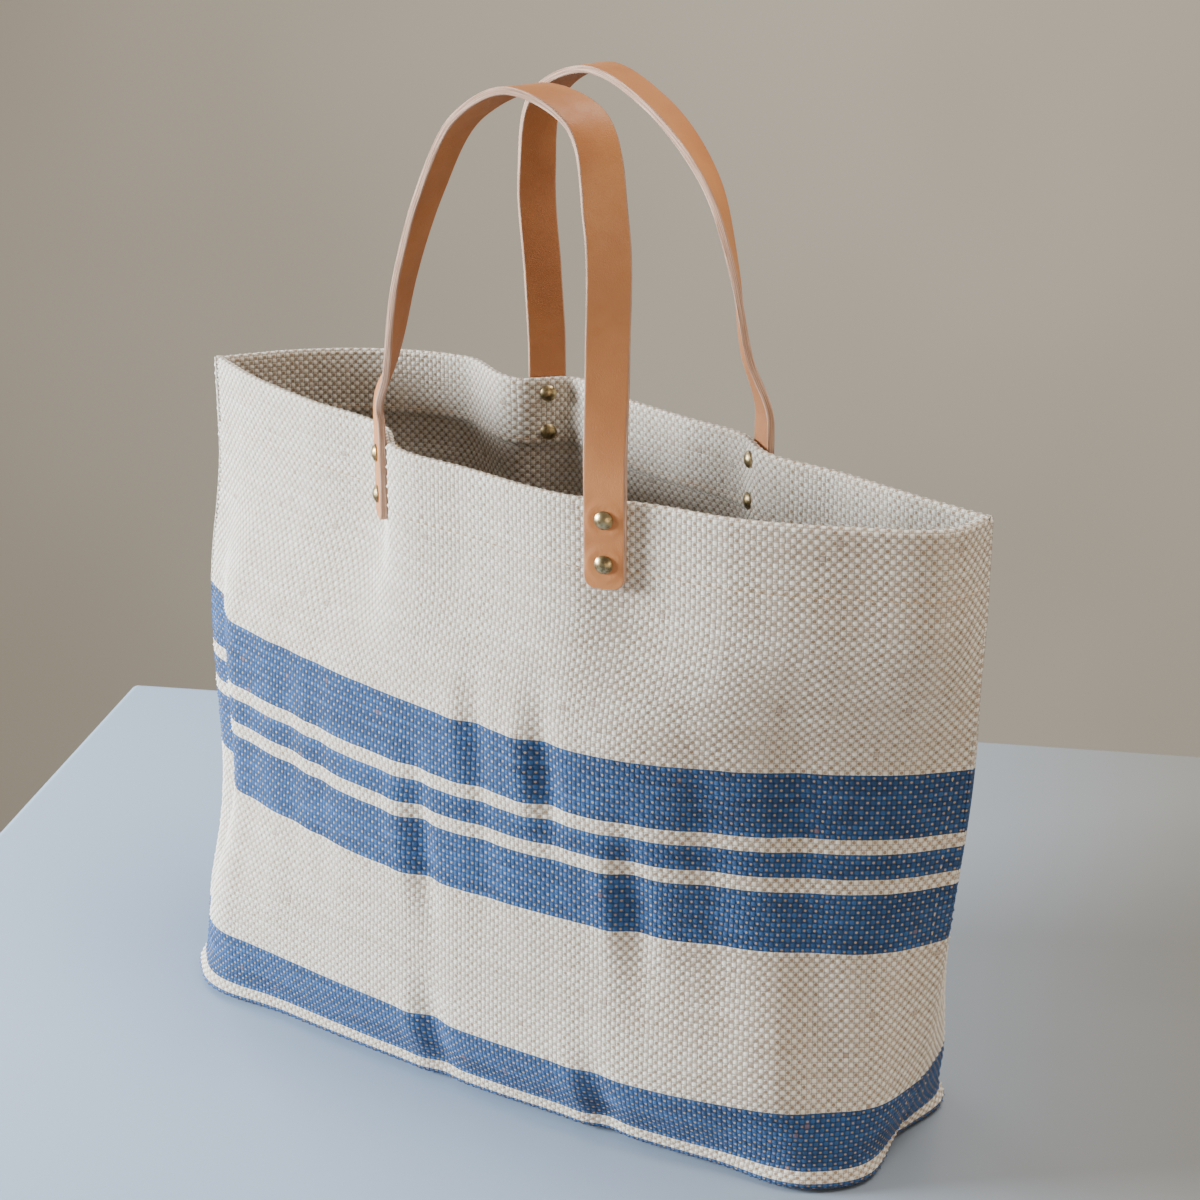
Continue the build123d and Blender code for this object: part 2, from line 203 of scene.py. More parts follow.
class Shader:
    """A Principled material whose nodes are added by short calls."""

    def __init__(self, name, roughness, **fixed):
        self.material = bpy.data.materials.new(name)
        self.material.use_nodes = True
        self.nodes = self.material.node_tree.nodes
        self.links = self.material.node_tree.links
        self.principled = self.nodes["Principled BSDF"]
        self.principled.inputs["Roughness"].default_value = roughness
        for socket, value in fixed.items():
            self.principled.inputs[socket.replace("_", " ")].default_value = value

    def put(self, socket, value):
        if isinstance(value, bpy.types.NodeSocket):
            self.links.new(value, socket)
        else:
            socket.default_value = value

    def math(self, operation, a, b=0.0, c=0.0):
        node = self.nodes.new("ShaderNodeMath")
        node.operation = operation
        for socket, value in zip(node.inputs, (a, b, c)):
            self.put(socket, value)
        return node.outputs[0]

    def cloth_coordinates(self, layer):
        """Position across and along the piece from its own layer of coordinates."""
        node = self.nodes.new("ShaderNodeUVMap")
        node.uv_map = layer
        split = self.nodes.new("ShaderNodeSeparateXYZ")
        self.links.new(node.outputs[0], split.inputs[0])
        return split.outputs[0], split.outputs[1]

    def object_coordinates(self):
        return self.nodes.new("ShaderNodeTexCoord").outputs["Object"]

    def point(self, x, y, z=0.0):
        node = self.nodes.new("ShaderNodeCombineXYZ")
        for socket, value in zip(node.inputs, (x, y, z)):
            self.put(socket, value)
        return node.outputs[0]

    def noise(self, where, scale, detail=2.0, roughness=0.5):
        node = self.nodes.new("ShaderNodeTexNoise")
        self.links.new(where, node.inputs["Vector"])
        node.inputs["Scale"].default_value = scale
        node.inputs["Detail"].default_value = detail
        node.inputs["Roughness"].default_value = roughness
        return node.outputs["Fac"]

    def cells(self, where, scale):
        node = self.nodes.new("ShaderNodeTexVoronoi")
        self.links.new(where, node.inputs["Vector"])
        node.inputs["Scale"].default_value = scale
        return node.outputs["Distance"]

    def random(self, a, b=0.0):
        """One random value for each whole number, or pair of them."""
        node = self.nodes.new("ShaderNodeTexWhiteNoise")
        node.noise_dimensions = "3D"
        self.links.new(self.point(a, b, 0.5), node.inputs["Vector"])
        return node.outputs["Value"]

    def remap(self, value, low, high, to_low=0.0, to_high=1.0):
        node = self.nodes.new("ShaderNodeMapRange")
        node.interpolation_type = "SMOOTHSTEP"
        for socket, number in zip(node.inputs, (value, low, high, to_low, to_high)):
            self.put(socket, number)
        return node.outputs[0]

    def mix(self, share, a, b, blend="MIX"):
        node = self.nodes.new("ShaderNodeMix")
        node.data_type = "RGBA"
        node.blend_type = blend
        self.put(node.inputs[0], share)
        for socket, value in zip((node.inputs[6], node.inputs[7]), (a, b)):
            self.put(socket, value)
        return node.outputs[2]

    def steps(self, value, stops):
        """Colour by ranges of a value from 0 to 1."""
        node = self.nodes.new("ShaderNodeValToRGB")
        ramp = node.color_ramp
        ramp.interpolation = "CONSTANT"
        ramp.elements[0].position, ramp.elements[0].color = stops[0]
        ramp.elements[1].position, ramp.elements[1].color = stops[1]
        for position, color in stops[2:]:
            ramp.elements.new(position).color = color
        self.links.new(value, node.inputs[0])
        return node.outputs[0]

    def finish(self, color, height=None, depth=0.0005, strength=1.0, roughness=None):
        self.put(self.principled.inputs["Base Color"], color)
        if roughness is not None:
            self.put(self.principled.inputs["Roughness"], roughness)
        if height is not None:
            bump = self.nodes.new("ShaderNodeBump")
            bump.inputs["Strength"].default_value = strength
            bump.inputs["Distance"].default_value = depth
            self.links.new(height, bump.inputs["Height"])
            self.links.new(bump.outputs[0], self.principled.inputs["Normal"])
        return self.material


CREAM = (0.88, 0.83, 0.74, 1)
CREAM_SHADE = (0.77, 0.69, 0.585, 1)
# The dark warp tone is partly the yarn's own tan, partly painted shade of the warp lying below the weft.
TAN_AND_RECESS_SHADE = (0.29, 0.20, 0.125, 1)
TAN_LIGHT = (0.44, 0.33, 0.24, 1)
SLUB = (0.25, 0.13, 0.09, 1)
BLUE = (0.025, 0.102, 0.285, 1)
BLUE_SHADE = (0.013, 0.052, 0.150, 1)
# Bands of weft from the rim down: rows, and whether the yarn is blue.
BANDS = [(51, 0), (12, 1), (4, 0), (4, 1), (4, 0), (12, 1), (32, 0), (12, 1), (4, 0), (4, 1), (4, 0),
         (12, 1), (30, 0)]
ALL_ROWS = sum(rows for rows, is_blue in BANDS)
WEAVE = "weave"


def band_stops():
    stops, row = [], 0
    for rows, is_blue in BANDS:
        value = float(is_blue)
        stops.append((row / ALL_ROWS, (value, value, value, 1)))
        row += rows
    return stops


def woven_cloth():
    s = Shader("striped_weave", 0.92, Sheen_Weight=0.06, Sheen_Roughness=0.5)
    across, down = s.cloth_coordinates(WEAVE)
    wander = s.noise(s.point(s.math("MULTIPLY", across, 0.21), s.math("MULTIPLY", down, 0.21)), 1.0)
    wander = s.math("MULTIPLY", s.math("SUBTRACT", wander, 0.5), 0.45)
    u = s.math("ADD", across, wander)
    v = s.math("ADD", down, s.math("MULTIPLY", wander, 0.5))
    wave = s.math("MULTIPLY",
                  s.math("SINE", s.math("MULTIPLY", u, math.pi)),
                  s.math("SINE", s.math("MULTIPLY", v, math.pi)))
    row = s.math("FLOOR", v)
    column = s.math("FLOOR", u)
    along_weft = s.noise(s.point(s.math("MULTIPLY", u, 0.09), s.math("MULTIPLY", row, 7.31)), 1.0, 3)
    along_warp = s.noise(s.point(s.math("MULTIPLY", column, 5.17), s.math("MULTIPLY", v, 0.13)), 1.0, 3)
    row_tint = s.random(row)
    knot_tint = s.random(row, column)

    blue_row = s.steps(s.math("DIVIDE", s.math("ADD", row, 0.5), float(ALL_ROWS)), band_stops())
    # The blue weft is packed closer and hides more of the warp than the cream one.
    is_weft = s.remap(s.math("ADD", wave, s.math("MULTIPLY", blue_row, 0.28)), -0.57, -0.33)
    tint = s.remap(s.math("ADD", s.math("MULTIPLY", along_weft, 0.7),
                          s.math("MULTIPLY", s.math("ADD", row_tint, knot_tint), 0.15)), 0.32, 0.72)
    cream = s.mix(tint, CREAM_SHADE, CREAM)
    blue = s.mix(tint, BLUE_SHADE, BLUE)
    weft = s.mix(blue_row, cream, blue)
    slub = s.remap(s.random(s.math("ADD", column, 0.37), s.math("ADD", row, 0.21)), 0.9955, 0.9965, 0.0, 0.5)
    weft = s.mix(slub, weft, SLUB)
    warp_tint = s.remap(s.math("ADD", s.math("MULTIPLY", along_warp, 0.6),
                               s.math("MULTIPLY", s.random(column), 0.4)), 0.25, 0.75)
    # The warp runs towards a dark tone that holds painted shade of its recess as well as its own tan.
    warp = s.mix(warp_tint, TAN_AND_RECESS_SHADE, TAN_LIGHT)
    warp = s.mix(s.math("MULTIPLY", blue_row, 0.35), warp, TAN_AND_RECESS_SHADE)
    yarn = s.mix(is_weft, warp, weft)
    # Painted shade: the yarn colour is darkened in the grooves between the yarns.
    groove_shade = s.remap(s.math("ABSOLUTE", wave), 0.0, 0.36, 0.44, 1.0)
    color = s.mix(1.0, yarn, s.point(groove_shade, groove_shade, groove_shade), "MULTIPLY")

    twist = s.math("SINE", s.math("MULTIPLY", s.math("ADD", u, s.math("MULTIPLY", v, 2.3)), 15.0))
    fibre = s.noise(s.point(s.math("MULTIPLY", u, 5.0), s.math("MULTIPLY", v, 11.0)), 1.0, 3, 0.65)
    dome = s.math("SQRT", s.math("ABSOLUTE", wave))
    height = s.math("ADD", dome, s.math("MULTIPLY", twist, 0.06))
    height = s.math("ADD", height, s.math("MULTIPLY", fibre, 0.35))
    return s.finish(color, height, depth=0.0006, strength=0.85)


def leather(name, light, dark, grain, roughness, coat=0.0):
    s = Shader(name, roughness, Coat_Weight=coat, Coat_Roughness=0.35)
    where = s.object_coordinates()
    mottle = s.noise(where, 38, 4)
    pores = s.cells(where, 2300)
    fine = s.noise(where, 900, 4, 0.6)
    scuff = s.noise(where, 150, 5, 0.7)
    color = s.mix(s.remap(mottle, 0.3, 0.7), dark, light)
    color = s.mix(s.remap(scuff, 0.60, 0.74, 0.0, 0.25), color, dark)
    color = s.mix(s.remap(pores, 0.05, 0.35, 0.22, 0.0), color, dark)
    height = s.math("ADD", s.math("MULTIPLY", pores, 0.6), s.math("MULTIPLY", fine, 0.6))
    worn = s.remap(scuff, 0.35, 0.75, roughness - 0.06, roughness + 0.10)
    return s.finish(color, height, depth=0.00018 * grain, strength=0.6, roughness=worn)


def leather_edge():
    """Cut edge of the strap: pale, in fine layers along its length."""
    s = Shader("strap_cut_edge", 0.85)
    across, along = s.cloth_coordinates("strap")
    layers = s.noise(s.point(s.math("MULTIPLY", across, 3.2), s.math("MULTIPLY", along, 0.05)), 1.0, 3)
    fibre = s.noise(s.object_coordinates(), 1400, 3, 0.7)
    # The pale layers of the cut edge are darkened overall here: partly their own colour, partly painted
    # shade.
    color = s.mix(s.remap(layers, 0.38, 0.62), (0.26, 0.135, 0.080, 1), (0.58, 0.38, 0.28, 1))
    color = s.mix(s.remap(fibre, 0.4, 0.7, 0.0, 0.4), color, (0.42, 0.25, 0.17, 1))
    height = s.math("ADD", layers, s.math("MULTIPLY", fibre, 0.5))
    return s.finish(color, height, depth=0.0004, strength=0.7)


def antique_brass():
    s = Shader("antique_brass", 0.34, Metallic=1.0)
    where = s.object_coordinates()
    patina = s.noise(where, 420, 5, 0.65)
    scratch = s.noise(where, 2400, 3, 0.7)
    color = s.mix(s.remap(patina, 0.38, 0.62), (0.15, 0.110, 0.055, 1), (0.44, 0.34, 0.18, 1))
    worn = s.remap(patina, 0.3, 0.7, 0.46, 0.28)
    return s.finish(color, scratch, depth=0.00008, strength=0.35, roughness=worn)


def thread_material():
    s = Shader("cotton_thread", 0.8, Sheen_Weight=0.3)
    where = s.object_coordinates()
    plies = s.nodes.new("ShaderNodeTexWave")
    plies.wave_type = "BANDS"
    plies.bands_direction = "DIAGONAL"
    plies.inputs["Scale"].default_value = 900
    s.links.new(where, plies.inputs["Vector"])
    strands = plies.outputs["Fac"]
    color = s.mix(s.remap(s.noise(where, 300, 3), 0.35, 0.65), (0.40, 0.28, 0.18, 1), (0.56, 0.43, 0.30, 1))
    return s.finish(color, strands, depth=0.0001, strength=0.6)


def table_with_painted_light():
    s = Shader("pale_table", 0.42)
    where = s.object_coordinates()
    cloud = s.noise(where, 3.0, 4)
    split = s.nodes.new("ShaderNodeSeparateXYZ")
    s.links.new(where, split.inputs[0])
    # Painted light and shadow: bluish and lighter towards the left, where the light comes from, darker and
    # warmer towards the right, where the bag's shadow falls.
    color = s.mix(s.remap(split.outputs[0], 0.26, 0.66), (0.270, 0.355, 0.480, 1), (0.175, 0.170, 0.152, 1))
    color = s.mix(s.remap(cloud, 0.3, 0.7, 0.0, 0.08), color, (0.50, 0.52, 0.55, 1))
    return s.finish(color, s.noise(where, 420, 3), depth=0.0001, strength=0.25)


def painted_wall():
    s = Shader("pale_wall", 0.9)
    where = s.object_coordinates()
    color = s.mix(s.remap(s.noise(where, 0.9, 2), 0.3, 0.7), (0.63, 0.575, 0.485, 1), (0.69, 0.635, 0.545, 1))
    return s.finish(color, s.noise(where, 160, 3), depth=0.0002, strength=0.3)


# Meshes -----------------------------------------------------------------------------------------


def new_piece(name, vertices, faces, materials, face_materials=None, uv=None, uv_name=WEAVE):
    """A smooth-shaded piece from points in millimetres and lists of face corners."""
    mesh = bpy.data.meshes.new(name)
    mesh.vertices.add(len(vertices))
    mesh.vertices.foreach_set("co", (np.asarray(vertices, float) * MM).ravel())
    faces = np.asarray(faces, np.int32)
    mesh.loops.add(faces.size)
    mesh.polygons.add(len(faces))
    mesh.loops.foreach_set("vertex_index", faces.ravel())
    mesh.polygons.foreach_set("loop_start", np.arange(len(faces), dtype=np.int32) * faces.shape[1])
    mesh.polygons.foreach_set("use_smooth", np.ones(len(faces), bool))
    for material in materials:
        mesh.materials.append(material)
    if face_materials is not None:
        mesh.polygons.foreach_set("material_index", np.asarray(face_materials, np.int32))
    if uv is not None:
        layer = mesh.uv_layers.new(name=uv_name)
        layer.data.foreach_set("uv", np.asarray(uv, np.float32)[faces.ravel()].ravel())
    mesh.update(calc_edges=True)
    mesh.validate()
    piece = bpy.data.objects.new(name, mesh)
    bpy.context.scene.collection.objects.link(piece)
    return piece


def grid_faces(columns, rows, start=0, flip=False):
    """Four-cornered faces between neighbouring points of a grid stored column by column."""
    i, j = np.meshgrid(np.arange(columns - 1), np.arange(rows - 1), indexing="ij")
    a = start + i * rows + j
    corners = np.stack([a, a + 1, a + rows + 1, a + rows], axis=-1).reshape(-1, 4)
    return corners[:, ::-1] if flip else corners


# Cloth ------------------------------------------------------------------------------------------


class Wall:
    """The smooth middle form of one panel, read at any share across it and any height."""

    def __init__(self, side, folds, columns):
        self.columns = columns
        self.heights = np.array([level[0] for level in LEVELS])
        self.curves = np.array([smooth_path(level[1 + side], columns) for level in LEVELS])
        self.folds = folds
        self.slopes = level_slopes(self.heights, self.curves.reshape(len(LEVELS), -1))

    def plan(self, heights):
        """Plan positions, one row of columns for each height."""
        flat = hermite(self.heights, self.curves.reshape(len(LEVELS), -1), self.slopes,
                       np.clip(heights, 0, RIM_HEIGHT))
        return flat.reshape(len(heights), self.columns, 2)

    def outward(self, plan):
        along = np.gradient(plan, axis=1)
        along /= np.linalg.norm(along, axis=2, keepdims=True)
        return np.stack([along[..., 1], -along[..., 0]], axis=-1)

    def fold_depth(self, heights):
        """How far soft folds move the cloth out, for each height and column."""
        share = np.linspace(0, 1, self.columns)[None, :]
        z = np.asarray(heights)[:, None]
        depth = np.zeros((len(heights), self.columns))
        for middle, height, half_width, half_height, amount in self.folds:
            lean = (share - middle) * FLAT_WIDTH + 0.12 * (z - height)
            depth += amount * np.exp(-((lean / half_width) ** 2) - ((z - height) / half_height) ** 2)
        seam = np.minimum(share, 1 - share) * FLAT_WIDTH
        depth -= 1.1 * np.exp(-((seam / 1.6) ** 2))
        depth += FOOT_FLARE * np.exp(-(((z - 2) / 5.5) ** 2)) * np.clip(seam / 30, 0, 1)
        fade = np.clip((RIM_HEIGHT - TAB_TAIL - 4 - z) / 30, 0, 1)
        return depth * fade

    def surface(self, heights, inset, knobs):
        """Points at heights, moved in by an inset and out by the knobs of the weave."""
        plan = self.plan(heights)
        out = self.outward(plan)
        move = self.fold_depth(heights) + knobs - np.asarray(inset)[:, None]
        points = np.empty((len(heights), self.columns, 3))
        points[..., :2] = plan + out * move[..., None]
        points[..., 2] = np.asarray(heights)[:, None]
        return points


def knob_height(across, down, sign, rng):
    """How far the cloth's face stands out at each row and column of yarn coordinates."""
    wave = np.sin(np.pi * across)[None, :] * np.sin(np.pi * down)[:, None] * sign
    height = np.where(wave > 0, KNOB * wave, 0.22 * KNOB * -wave)
    height -= 0.22 * KNOB * (1 - np.abs(wave))
    rows = int(np.ceil(np.abs(down).max())) + 3
    slubs = np.stack([smooth_noise(rng, len(across), 17) for _ in range(rows)])
    row = np.floor(np.abs(down)).astype(int)
    return height * (1 + 0.35 * slubs[row]) + 0.05 * slubs[row]


def panel_profile(thickness_side):
    """Heights, insets and cloth lengths of a panel from the rim's fold down to the base's edge."""
    radius = FLOOR_ROUND - thickness_side
    top_arc = CLOTH * math.pi / 2
    wall = RIM_HEIGHT - CLOTH - FLOOR_ROUND
    bottom_arc = FLOOR_ROUND * math.pi / 2
    rows = np.arange(0, 2 * (top_arc + wall + bottom_arc + FOOT_EXTRA) / ROW) / 2
    foot = np.clip((rows - FOOT_FROM) / (rows[-1] - FOOT_FROM), 0, 1)
    lengths = rows * ROW - FOOT_EXTRA * foot**2
    on_top = np.minimum(lengths / CLOTH, math.pi / 2)
    along_wall = np.clip(lengths - top_arc, 0, wall)
    on_bottom = np.clip((lengths - top_arc - wall) / FLOOR_ROUND, 0, math.pi / 2)
    if thickness_side:
        z = np.where(lengths < top_arc, RIM_HEIGHT - CLOTH, RIM_HEIGHT - CLOTH - along_wall)
        inset = np.full(len(lengths), thickness_side)
        inset = inset + radius * (1 - np.cos(on_bottom))
    else:
        z = RIM_HEIGHT - CLOTH + CLOTH * np.cos(on_top) - along_wall
        inset = CLOTH * (1 - np.sin(on_top)) + radius * (1 - np.cos(on_bottom))
    z = z - radius * np.sin(on_bottom)
    return z, inset, rows


def make_panel(name, side, folds, weave, seed):
    """A panel with both faces: wall, fold round the base and half of the base."""
    rng = np.random.default_rng(seed)
    across = np.arange(2 * WARP_COUNT + 1) / 2
    wall = Wall(side, folds, len(across))
    faces_of_cloth = []
    for thickness_side, sign in ((0.0, 1), (CLOTH, -1)):
        z, inset, down = panel_profile(thickness_side)
        skin = wall.surface(z, inset, sign * knob_height(across, down, sign, rng))
        last = wall.surface(z[-1:], inset[-1:], 0.0)[0]
        middle = np.stack([np.clip(last[:, 0], -150, 150), np.zeros(len(across)), last[:, 2]], axis=1)
        base_rows = int(FLAT_DEPTH / ROW * 2) - 7
        share = np.arange(1, base_rows + 1)[:, None, None] / base_rows
        base_down = down[-1] + np.arange(1, base_rows + 1) / 2
        base = last[None] * (1 - share) + middle[None] * share
        base[..., 2] = thickness_side - sign * knob_height(across, base_down, sign, rng)
        points = np.concatenate([skin, base])
        points[..., 2] = np.maximum(points[..., 2] + FLOOR_LIFT, 0.05)
        points[: len(z), :, 2] -= FLOOR_LIFT * np.clip(z / 40, 0, 1)[:, None]
        faces_of_cloth.append((points, np.concatenate([down, base_down])))

    (outer, down), (inner, inner_down) = faces_of_cloth
    rows = len(outer)
    columns = len(across)
    vertices = np.concatenate([outer.transpose(1, 0, 2).reshape(-1, 3),
                               inner.transpose(1, 0, 2).reshape(-1, 3)])
    uv_outer = np.stack(np.meshgrid(across, down, indexing="ij"), axis=-1).reshape(-1, 2)
    uv_inner = np.stack(np.meshgrid(across + 1, inner_down, indexing="ij"), axis=-1).reshape(-1, 2)
    inner_start = rows * columns
    j = np.arange(rows - 1)
    i = np.arange(columns - 1)
    last_column = (columns - 1) * rows
    left_edge = np.stack([j, inner_start + j, inner_start + j + 1, j + 1], axis=1)
    right_edge = last_column + np.stack([j, j + 1, inner_start + j + 1, inner_start + j], axis=1)
    rim_edge = np.stack([i * rows, (i + 1) * rows, inner_start + (i + 1) * rows,
                         inner_start + i * rows], axis=1)
    base_edge = rows - 1 + rim_edge[:, ::-1]
    faces = np.concatenate([
        grid_faces(columns, rows), grid_faces(columns, rows, inner_start, flip=True),
        left_edge, right_edge, rim_edge, base_edge,
    ])
    return new_piece(name, vertices, faces, [weave], uv=np.concatenate([uv_outer, uv_inner])), wall


def make_hem(name, wall, weave, seed):
    """The hem turned inside: from the fold at the rim down to its lower edge, and back up behind."""
    rng = np.random.default_rng(seed)
    across = np.arange(2 * WARP_COUNT + 1) / 2
    arc = CLOTH * math.pi / 2
    lengths = np.arange(0, arc + HEM_DEPTH - CLOTH, ROW / 2)
    on_top = np.minimum(lengths / CLOTH, math.pi / 2)
    z = RIM_HEIGHT - CLOTH + CLOTH * np.cos(on_top) - np.clip(lengths - arc, 0, None)
    inset = CLOTH + CLOTH * np.sin(on_top)
    knobs = -knob_height(across, -lengths / ROW, 1, rng)
    face = wall.surface(z, inset, knobs)
    back_z = np.array([z[-1] - 0.6, z[-1] - 0.6, RIM_HEIGHT - 2 * CLOTH, RIM_HEIGHT - 0.6 * CLOTH])
    back_inset = np.array([CLOTH * 1.75, CLOTH + 0.55, CLOTH + 0.55, CLOTH + 0.3])
    back = wall.surface(back_z, back_inset, 0.0)
    ring = np.concatenate([face, back])
    rows, columns = len(ring), len(across)
    vertices = ring.transpose(1, 0, 2).reshape(-1, 3)
    v = np.concatenate([-lengths / ROW, -lengths[-1] / ROW - 0.5 - np.arange(4) / 2])
    uv = np.stack(np.meshgrid(across, v, indexing="ij"), axis=-1).reshape(-1, 2)
    i = np.arange(columns - 1)
    closing = np.stack([i * rows, i * rows + rows - 1, (i + 1) * rows + rows - 1, (i + 1) * rows], axis=1)
    half = rows // 2
    j = np.arange(half - 1)
    left = np.stack([j + 1, j, rows - 1 - j, rows - 2 - j], axis=1)
    right = (columns - 1) * rows + left[:, ::-1]
    faces = np.concatenate([grid_faces(columns, rows, flip=True), closing, left, right])
    return new_piece(name, vertices, faces, [weave], uv=uv)


# Threads ----------------------------------------------------------------------------------------


def running_stitches(name, course, normals, radius, length, material):
    """Separate stitches along a course: each rises out of the cloth and dips back into it."""
    run = np.concatenate([[0], np.cumsum(np.linalg.norm(np.diff(course, axis=0), axis=1))])
    points, sides = 6, 8
    starts = np.arange(STITCH_PITCH / 2, run[-1] - STITCH_PITCH, STITCH_PITCH)
    share = np.linspace(0, 1, points)
    at = starts[:, None] + share[None, :] * length
    centre = np.stack([np.interp(at, run, course[:, k]) for k in range(3)], axis=-1)
    normal = np.stack([np.interp(at, run, normals[:, k]) for k in range(3)], axis=-1)
    centre = centre + normal * (STITCH_SINK * (np.sin(math.pi * share) - 1))[None, :, None]
    along = np.gradient(centre, axis=1)
    along /= np.linalg.norm(along, axis=2, keepdims=True)
    side = np.cross(along, normal)
    side /= np.linalg.norm(side, axis=2, keepdims=True)
    lift = np.cross(side, along)
    angle = 2 * math.pi * np.arange(sides) / sides
    taper = np.array([0.35, 0.9, 1.0, 1.0, 0.9, 0.35])[None, :, None, None]
    ring = (side[:, :, None] * np.cos(angle)[:, None] + lift[:, :, None] * np.sin(angle)[:, None])
    vertices = (centre[:, :, None] + ring * radius * taper).reshape(-1, 3)
    first = np.arange(len(starts))[:, None, None] * points * sides
    ring_start = first + np.arange(points - 1)[None, :, None] * sides
    k = np.arange(sides)[None, None, :]
    after = (k + 1) % sides
    walls = np.stack([ring_start + k, ring_start + after, ring_start + after + sides,
                      ring_start + k + sides], axis=-1).reshape(-1, 4)
    caps = []
    for ring_index, order in ((0, -1), (points - 1, 1)):
        base = first[:, 0, 0] + ring_index * sides
        for corner in range(1, sides - 2, 2):
            cap = np.stack([base, base + corner, base + corner + 1, base + corner + 2], axis=1)
            caps.append(cap[:, ::order])
    return new_piece(name, vertices, np.concatenate([walls] + caps), [material])


def hem_course(wall, inset, height):
    plan = wall.plan([height])
    out = wall.outward(plan)[0]
    course = np.zeros((wall.columns, 3))
    course[:, :2] = plan[0] - out * inset
    course[:, 2] = height
    normals = np.zeros((wall.columns, 3))
    normals[:, :2] = out * (1 if inset < CLOTH else -1)
    return course[3:-3], normals[3:-3]


def side_course(wall, share, inset, low, high):
    """A course of stitches up a panel, beside its side seam."""
    heights = np.arange(low, high, 4.0)
    column = int(round(share * (wall.columns - 1)))
    plan = wall.plan(heights)
    out = wall.outward(plan)
    depth = wall.fold_depth(heights)
    course = np.zeros((len(heights), 3))
    course[:, :2] = plan[:, column] + out[:, column] * (depth[:, column] - inset)[:, None]
    course[:, 2] = heights
    normals = np.zeros((len(heights), 3))
    normals[:, :2] = out[:, column]
    return course, normals


# Tapes and straps -------------------------------------------------------------------------------


def ribbon_section(flat_points, radius, half_thickness):
    """Loop round a flat section: share of the half width, offset past it, and height."""
    share = np.linspace(-1, 1, flat_points)
    arc = np.linspace(0, math.pi / 2, 4)[1:]
    right_share = np.ones(2 * len(arc))
    right_over = radius * np.concatenate([np.sin(arc), np.cos(arc - arc[0])])
    right_high = half_thickness - radius + radius * np.cos(arc)
    right_low = -(half_thickness - radius + radius * np.sin(arc - arc[0]))
    height = np.concatenate([right_high, right_low])
    half_share = np.concatenate([share, right_share])
    half_over = np.concatenate([np.zeros(flat_points), right_over])
    half_height = np.concatenate([np.full(flat_points, half_thickness), height])
    return (np.concatenate([half_share, -half_share]), np.concatenate([half_over, -half_over]),
            np.concatenate([half_height, -half_height]))


def ribbon(name, centre, across, normal, half_width, half_thickness, radius, flat_points,
           materials, shape, weave_rows=None):
    """A closed flat band along a path, with rounded edges; faces are told apart by their side."""
    share, over, height = ribbon_section(flat_points, radius, half_thickness)
    width = np.asarray(half_width)[:, None] - radius
    a = share[None] * width + over[None]
    n = np.repeat(height[None], len(centre), axis=0)
    n = n + shape(a, n)
    points = centre[:, None] + across[:, None] * a[..., None] + normal[:, None] * n[..., None]
    rings, sides = len(centre), len(share)
    vertices = points.reshape(-1, 3)
    run = np.concatenate([[0], np.cumsum(np.linalg.norm(np.diff(centre, axis=0), axis=1))])
    run = np.repeat(run[:, None], sides, axis=1)
    if weave_rows is None:
        uv = np.stack([np.where(np.abs(over)[None] > 0, n, a), run], axis=-1)
    elif len(weave_rows) == 1:
        uv = np.stack([run / WARP_PITCH, weave_rows[0] + a / ROW], axis=-1)
    else:
        uv = np.stack([a / WARP_PITCH, np.repeat(weave_rows[:, None], sides, axis=1)], axis=-1)
    i, k = np.meshgrid(np.arange(rings - 1), np.arange(sides), indexing="ij")
    after = (k + 1) % sides
    faces = np.stack([i * sides + k, (i + 1) * sides + k, (i + 1) * sides + after,
                      i * sides + after], axis=-1)
    kinds = np.full((rings - 1, sides), 1)
    kinds[:, : flat_points - 1] = 0
    kinds[:, sides // 2 : sides // 2 + flat_points - 1] = 2
    cap_faces = []
    for ring, order in ((0, 1), (rings - 1, -1)):
        base = ring * sides
        for k in range(sides // 2 - 1):
            corners = (base + k, base + k + 1, base + (sides - 2 - k) % sides, base + (sides - 1 - k) % sides)
            cap_faces.append(corners[::order])
    kinds = np.concatenate([kinds.ravel(), np.ones(len(cap_faces), int)])
    faces = np.concatenate([faces.reshape(-1, 4), np.array(cap_faces)])
    return new_piece(name, vertices, faces, materials, kinds, uv.reshape(-1, 2),
                     "strap" if weave_rows is None else WEAVE)


def strap_point(end, height):
    (x, y), facing = end
    out = unit(facing)
    return np.array([x, y, height]) + out * (STRAP_GAP + STRAP_THICKNESS / 2)


def strap_path(left, right, loop):
    """Middle of a strap from the end of its left tail over the loop to the end of its right tail."""
    low, flex = RIM_HEIGHT - TAB_TAIL, RIM_HEIGHT + FLEX_HEIGHT
    knots = np.array([strap_point(left, flex), *loop, strap_point(right, flex)], float)
    chords = np.concatenate([[0], np.cumsum(np.linalg.norm(np.diff(knots, axis=0), axis=1))])
    slopes = np.gradient(knots, chords, axis=0)
    slopes[0], slopes[-1] = (0, 0, 1), (0, 0, -1)
    fine = hermite(chords, knots, slopes, np.linspace(0, chords[-1], 1200))
    tail = TAB_TAIL + FLEX_HEIGHT
    loop_run = np.concatenate([[0], np.cumsum(np.linalg.norm(np.diff(fine, axis=0), axis=1))])
    total = loop_run[-1] + 2 * tail
    corner = STRAP_CORNER * (1 - np.cos(np.linspace(0, math.pi / 2, 9)))
    inner = np.linspace(STRAP_CORNER, total - STRAP_CORNER, int(total / 1.25))[1:-1]
    run = np.concatenate([corner, inner, total - corner[::-1]])
    centre = np.empty((len(run), 3))
    for k in range(3):
        centre[:, k] = np.interp(run - tail, loop_run, fine[:, k])
    first = run < tail
    last = run > total - tail
    centre[first] = strap_point(left, low) + run[first, None] * np.array([0, 0, 1])
    centre[last] = strap_point(right, low) + (total - run[last, None]) * np.array([0, 0, 1])
    return centre, run, np.clip((run - tail) / loop_run[-1], 0, 1), total


